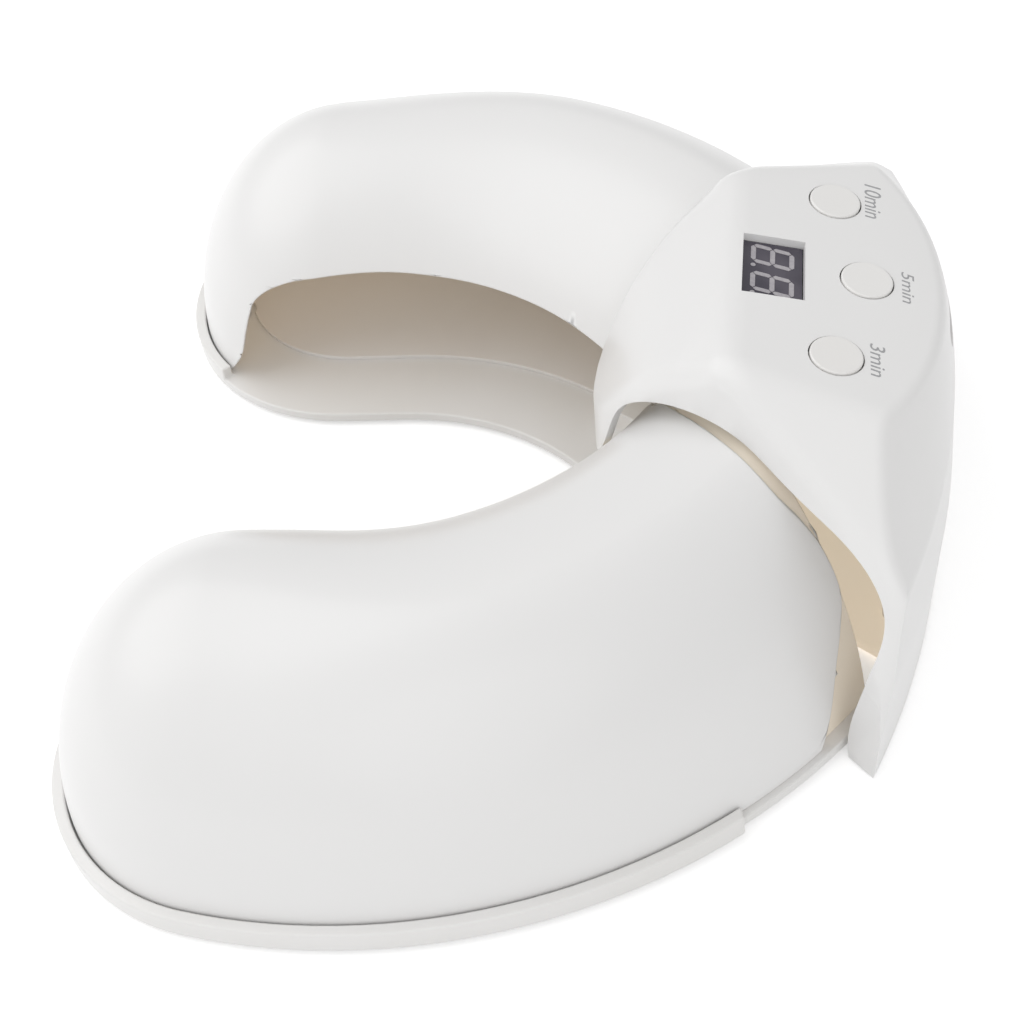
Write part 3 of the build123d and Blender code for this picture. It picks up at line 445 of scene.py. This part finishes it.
def dome_row(section, height, inner_half):
    # one section from its inner foot, or from its crest, to its outer foot
    x, y, angle, width_in, width_out, tipness, outer_tipness = section
    out = (cos(radians(angle)), sin(radians(angle)))
    shares = [(-1, i / across_steps) for i in range(across_steps)] if inner_half else []
    shares += [(1, 1 - i / across_steps) for i in range(across_steps + 1)]
    row = []
    for side, share in shares:
        turn = radians(90.0 * share)
        if side < 0:
            width, full = width_in, inner_fullness + (tip_fullness - inner_fullness) * tipness
        else:
            width, full = width_out, outer_fullness + (tip_fullness - outer_fullness) * outer_tipness
        run = side * width * max(cos(turn), 0.0) ** (2 / full)
        row.append((x + run * out[0], y + run * out[1], floor_top + height * sin(turn) ** (2 / full)))
    return row


def dome_rows(inset, height):
    # the rows of the arm, and the rows that turn round its tip
    body = [dome_row(section, height, True) for section in dome_sections(inset)]
    tip = []
    for i in range(tip_rows + 1):
        angle = 90.0 + 180.0 * i / tip_rows
        width = tip_radius - inset
        if angle < outer_tangent_deg:
            width = ray_circle(tip_center, angle, outer_center, outer_radius - inset)
        tip.append(dome_row((*tip_center, angle, width, width, 1.0, 1.0), height, False))
    return body, tip


def grid_faces(rows):
    return [
        (rows[i][j], rows[i + 1][j], rows[i + 1][j + 1], rows[i][j + 1])
        for i in range(len(rows) - 1)
        for j in range(len(rows[i]) - 1)
    ]


def mesh_from_faces(name, faces):
    # faces are lists of points in millimetres; shared corners are merged
    builder = bmesh.new()
    for corners in faces:
        builder.faces.new([builder.verts.new(Vector(corner) * mm) for corner in corners])
    bmesh.ops.remove_doubles(builder, verts=builder.verts, dist=weld_distance * mm)
    bmesh.ops.dissolve_degenerate(builder, edges=builder.edges, dist=flat_distance * mm)
    bmesh.ops.recalc_face_normals(builder, faces=builder.faces)
    mesh = bpy.data.meshes.new(name)
    builder.to_mesh(mesh)
    builder.free()
    return mesh


def add_object(name, mesh, material=None):
    piece = bpy.data.objects.new(name, mesh)
    if material:
        mesh.materials.append(material)
    bpy.context.collection.objects.link(piece)
    return piece


def prism(name, outline, low, high):
    # a closed prism from low to high: outline maps each of them to the list of corner points there
    bottom, top = outline(low), outline(high)
    count = len(bottom)
    faces = [list(bottom), list(reversed(top))]
    for i in range(count):
        after = (i + 1) % count
        faces.append([bottom[i], bottom[after], top[after], top[i]])
    return add_object(name, mesh_from_faces(name, faces), white_shell)


def dome_solid(name, inset, height, material, sunk=0.0):
    # the closed solid under a dome, with a straight foot of height sunk below it
    body, tip = dome_rows(inset, height)
    faces = grid_faces(body) + grid_faces(tip)
    outline = [row[0] for row in body]
    outline += [row[-1] for row in reversed(tip)] + [row[-1] for row in reversed(body)]
    if sunk:
        low = [(x, y, z - sunk) for x, y, z in outline]
        faces += grid_faces([outline, low])
        faces += [[low[0], *body[0], low[-1]], low]
    else:
        faces += [body[0], outline]
    return add_object(name, mesh_from_faces(name, faces), material)


def evaluated_mesh(piece):
    # a new mesh of a piece as its modifiers leave it
    graph = bpy.context.evaluated_depsgraph_get()
    return bpy.data.meshes.new_from_object(piece.evaluated_get(graph))


def cut(piece, tool, operation="DIFFERENCE"):
    # the tool is used up
    modifier = piece.modifiers.new("cut", "BOOLEAN")
    modifier.operation = operation
    modifier.object = tool
    modifier.solver = "EXACT"
    modifier.material_mode = "TRANSFER"
    result = evaluated_mesh(piece)
    piece.modifiers.remove(modifier)
    piece.data = result
    bpy.data.objects.remove(tool)


def opening_cutter():
    outline = smooth_through(opening_points, opening_steps)
    outline += [(opening_points[end][0], opening_start) for end in (-1, 0)]

    def corners(y):
        return [(x, y, z) for x, z in outline]

    return prism("opening_cutter", corners, opening_start, opening_reach)


def end_cutter(shift):
    # all that lies beyond the end edge of a dome, towards the hub; shift moves the edge that way
    out = (cos(radians(end_edge_deg)), sin(radians(end_edge_deg)))
    outline = [(w + shift, z) for w, z in smooth_through(end_edge_points, end_edge_steps)]
    outline += [(end_cut_reach, end_edge_points[-1][1]), (end_cut_reach, end_cut_foot),
                (end_edge_points[0][0] + shift, end_cut_foot)]

    def corners(reach):
        return [
            (hinge[0] + w * out[1] + reach * out[0], hinge[1] - w * out[0] + reach * out[1], z)
            for w, z in outline
        ]

    return prism("end_cutter", corners, -end_cut_reach, end_cut_reach)


def upright_cutter(name, corners):
    # all that lies inside an outline in plan
    return prism(name, lambda z: [(x, y, z) for x, y in corners], under_all, over_all)


def hinge_cutter():
    # all that lies beyond the ray from the hinge where the arm ends
    span = hinge_cut_to_deg - hinge_cut_from_deg
    turns = [hinge_cut_from_deg + span * i / hinge_cut_steps for i in range(hinge_cut_steps + 1)]
    return upright_cutter("hinge_cutter", [hinge, *(ray_point(hinge, turn, far_past) for turn in turns)])


def mirror_cutter():
    # all that lies nearer to the other arm than the gap between the two
    corners = [(-far_past, -far_past), (far_past, -far_past),
               (far_past, mirror_gap), (-far_past, mirror_gap)]
    return upright_cutter("mirror_cutter", corners)


def boss_places():
    # the foot of each boss, over the screws of the tray and over those of the lamp board
    places = []
    for angle in tray_boss_degs:
        reach = ray_circle(hinge, angle, outer_center, outer_radius - shell_inset - tray_boss_inset)
        places.append((*ray_point(hinge, angle, reach), floor_top))
    for angle in tip_boss_degs:
        reach = tip_radius - shell_inset - tray_boss_inset
        places.append((*ray_point(tip_center, angle, reach), floor_top))
    for angle in lamp_boss_degs:
        near = ray_circle(pole, angle, inner_center, inner_radius + shell_inset)
        far = ray_circle(pole, angle, outer_center, outer_radius - shell_inset)
        reach = near + crest_share * (far - near) + lamp_board_shift
        places.append((*ray_point(pole, angle, reach), lamp_board_top))
    return places


def bosses():
    # round posts from each screw up into the wall of the dome
    faces = []
    for x, y, z in boss_places():
        ring = [ray_point((x, y), 360.0 * i / boss_sides, boss_radius) for i in range(boss_sides)]
        foot = [(u, v, z) for u, v in ring]
        top = [(u, v, z + boss_reach) for u, v in ring]
        faces += [foot, top[::-1]] + grid_faces([foot + foot[:1], top + top[:1]])
    # the bosses take the inside material with its painted warm glow
    piece = add_object("bosses", mesh_from_faces("bosses", faces), inside_painted_glow)
    form = dome_solid("form", shell_inset + boss_sink, crest_height - floor_top - boss_sink, inside_painted_glow)
    cut(piece, form, "INTERSECT")
    return piece


def without_slivers(piece):
    # the tiny edges that cuts leave are closed, so that the edges can be rounded cleanly
    builder = bmesh.new()
    builder.from_mesh(piece.data)
    bmesh.ops.remove_doubles(builder, verts=builder.verts, dist=shortest_edge * mm)
    bmesh.ops.dissolve_degenerate(builder, edges=builder.edges, dist=flattest_face * mm)
    bmesh.ops.recalc_face_normals(builder, faces=builder.faces)
    builder.to_mesh(piece.data)
    builder.free()


def far_shell():
    # the hollow dome of the far arm, and the thinner neck that runs on under the hub
    height = crest_height - floor_top
    inset = shell_inset + shell_wall
    shell = dome_solid("far_shell", shell_inset, height, white_shell)
    # The hollow and the neck take the inside material, whose warm tint and glow are painted bounced light;
    # on the neck it paints the warm shade under the hub's arch
    cut(shell, dome_solid("hollow", inset, height - shell_wall, inside_painted_glow, hollow_sunk))
    cut(shell, end_cutter(0.0))
    neck = dome_solid("neck", shell_inset + neck_step, height - neck_step, inside_painted_glow)
    neck_height = height - shell_wall - neck_step
    cut(neck, dome_solid("neck_hollow", inset + neck_step, neck_height, inside_painted_glow, hollow_sunk))
    cut(neck, end_cutter(-neck_overlap), "INTERSECT")
    cut(shell, neck, "UNION")
    cut(shell, bosses(), "UNION")
    cut(shell, opening_cutter())
    cut(shell, hinge_cutter())
    cut(shell, mirror_cutter())
    without_slivers(shell)
    return shell


def smooth_shaded(piece):
    for face in piece.data.polygons:
        face.use_smooth = True
    piece.data.set_sharp_from_angle(angle=radians(sharp_from_deg))


def rounded_edges(piece, width, clamped=False):
    # sharp edges turned into small round ones
    edge = piece.modifiers.new("edge", "BEVEL")
    edge.width = width * mm
    edge.segments = round_segments
    edge.limit_method = "ANGLE"
    edge.angle_limit = radians(round_from_deg)
    edge.harden_normals = True
    edge.use_clamp_overlap = clamped


def softened(node_name, material, width, body, middle=None):
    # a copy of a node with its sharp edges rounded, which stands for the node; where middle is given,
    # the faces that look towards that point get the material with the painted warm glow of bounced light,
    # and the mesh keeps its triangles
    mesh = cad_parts[node_name].data.copy()
    builder = bmesh.new()
    builder.from_mesh(mesh)
    bmesh.ops.remove_doubles(builder, verts=builder.verts, dist=node_weld_distance * mm)
    if middle is None:
        flat = radians(flat_within_deg)
        bmesh.ops.dissolve_limit(builder, angle_limit=flat, verts=builder.verts, edges=builder.edges)
    bmesh.ops.recalc_face_normals(builder, faces=builder.faces)
    if middle:
        for face in builder.faces:
            inward = face.normal.dot(face.calc_center_median() - Vector(middle) * mm) < 0
            face.material_index = 1 if inward else 0
    builder.to_mesh(mesh)
    builder.free()
    mesh.materials.clear()
    piece = add_object(f"{node_name}_soft", mesh, material)
    if middle:
        mesh.materials.append(hub_inside_painted_glow)
    smooth_shaded(piece)
    rounded_edges(piece, width, clamped=middle is not None)
    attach(piece, body)
    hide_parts(node_name)


def plateau_point(x, y, above):
    # a point over the sloping top of the hub
    return Vector((x, y, plateau_z - plateau_slope * (x - plateau_x) + above))


def printed_label(name, words, base_x, top_x, from_y, to_y):
    # slanted print on the sloping top: its letters stand towards +X and it reads towards -Y
    curve = bpy.data.curves.new(name, "FONT")
    curve.body = words
    curve.shear = label_slant
    curve.extrude = label_extrude
    curve.resolution_u = label_curve_steps
    source = bpy.data.objects.new(name, curve)
    bpy.context.collection.objects.link(source)
    mesh = evaluated_mesh(source)
    bpy.data.objects.remove(source)
    low = [min(v.co[i] for v in mesh.vertices) for i in range(3)]
    high = [max(v.co[i] for v in mesh.vertices) for i in range(3)]
    for vertex in mesh.vertices:
        along, up, deep = [(vertex.co[i] - low[i]) / (high[i] - low[i]) for i in range(3)]
        x = base_x + (top_x - base_x) * up
        y = from_y + (to_y - from_y) * along
        vertex.co = plateau_point(x, y, label_lift * deep - label_sink) * mm
    mesh.materials.clear()
    label = add_object(name, mesh, print_ink)
    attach(label, "hub")


def mirrored(name, piece):
    # the near arm's copy of a far piece
    mesh = evaluated_mesh(piece)
    builder = bmesh.new()
    builder.from_mesh(mesh)
    for vertex in builder.verts:
        vertex.co.y = -vertex.co.y
    bmesh.ops.reverse_faces(builder, faces=builder.faces)
    builder.to_mesh(mesh)
    builder.free()
    return add_object(name, mesh)


def camera():
    down, yaw, roll = radians(camera_down), radians(camera_yaw), radians(camera_roll)
    forward = Vector((-sin(yaw) * cos(down), cos(yaw) * cos(down), -sin(down)))
    level = Vector((cos(yaw), sin(yaw), 0))
    upright = level.cross(forward)
    right = cos(roll) * level + sin(roll) * upright
    up = cos(roll) * upright - sin(roll) * level
    data = bpy.data.cameras.new("photo_camera")
    data.sensor_width = sensor_width
    data.lens = focal_pixels / image_pixels * sensor_width
    data.clip_start = clip_start
    view = bpy.data.objects.new("photo_camera", data)
    turn = Matrix((right, up, -forward)).transposed().to_4x4()
    view.matrix_world = Matrix.Translation(Vector(camera_place) * mm) @ turn
    bpy.context.collection.objects.link(view)
    bpy.context.scene.camera = view


def area_light(name, place, size, power):
    data = bpy.data.lights.new(name, "AREA")
    data.shape = "DISK"
    data.size = size
    data.energy = power
    light = bpy.data.objects.new(name, data)
    light.location = place
    light.rotation_euler = (Vector(light_target) - Vector(place)).to_track_quat("-Z", "Y").to_euler()
    bpy.context.collection.objects.link(light)


def studio():
    # pale floor that keeps the shadow, and a world that is white where it is seen
    bpy.ops.mesh.primitive_plane_add(size=floor_size, location=(0, 0, 0))
    floor = bpy.context.object
    floor.name = "studio_floor"
    shader = Shader("studio_floor", (floor_grey, floor_grey, floor_grey), floor_roughness)
    seen = shader.node("ShaderNodeLightPath", output="Is Camera Ray")
    glossy = shader.node("ShaderNodeLightPath", output="Is Glossy Ray")
    shader.set("Emission Color", (1, 1, 1, 1))
    shader.set("Emission Strength", (seen + glossy) * floor_glow)
    floor.data.materials.append(shader.material)
    world = bpy.data.worlds.new("studio")
    world.use_nodes = True
    tree = world.node_tree
    background = tree.nodes["Background"]
    path = tree.nodes.new("ShaderNodeLightPath")
    level = tree.nodes.new("ShaderNodeMapRange")
    level.inputs["To Min"].default_value = world_light
    level.inputs["To Max"].default_value = world_seen
    tree.links.new(path.outputs["Is Camera Ray"], level.inputs["Value"])
    tree.links.new(level.outputs["Result"], background.inputs["Strength"])
    background.inputs["Color"].default_value = (1.0, 1.0, 1.0, 1)
    bpy.context.scene.world = world
    for light in lights:
        area_light(*light)


camera()
studio()
bpy.context.scene.view_settings.view_transform = "Standard"

for name, material in node_materials.items():
    dress(name, materials[material])

far = far_shell()
smooth_shaded(far)
rounded_edges(far, shell_edge_width)
near = mirrored("near_shell", far)
for piece, side in ((far, "far"), (near, "near")):
    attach(piece, f"{side}_arm")
    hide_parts(f"{side}_arm_shell")

# the cover's inner faces get the hub's inside material with its painted warm glow
softened("hub_cover", white_hub, cover_edge_width, "hub", cover_middle)
# the hub's floor, seen through the gap under the arch, glows warm: painted bounced light in place of its
# shade
softened("hub_base", hub_inside_painted_glow, panel_edge_width, "hub")
for side in ("far", "near"):
    softened(f"{side}_arm_base", white_tray, tray_edge_width, f"{side}_arm")
    softened(f"{side}_floor_panel", panel_white, panel_edge_width, f"{side}_arm")
for label in labels:
    printed_label(*label)
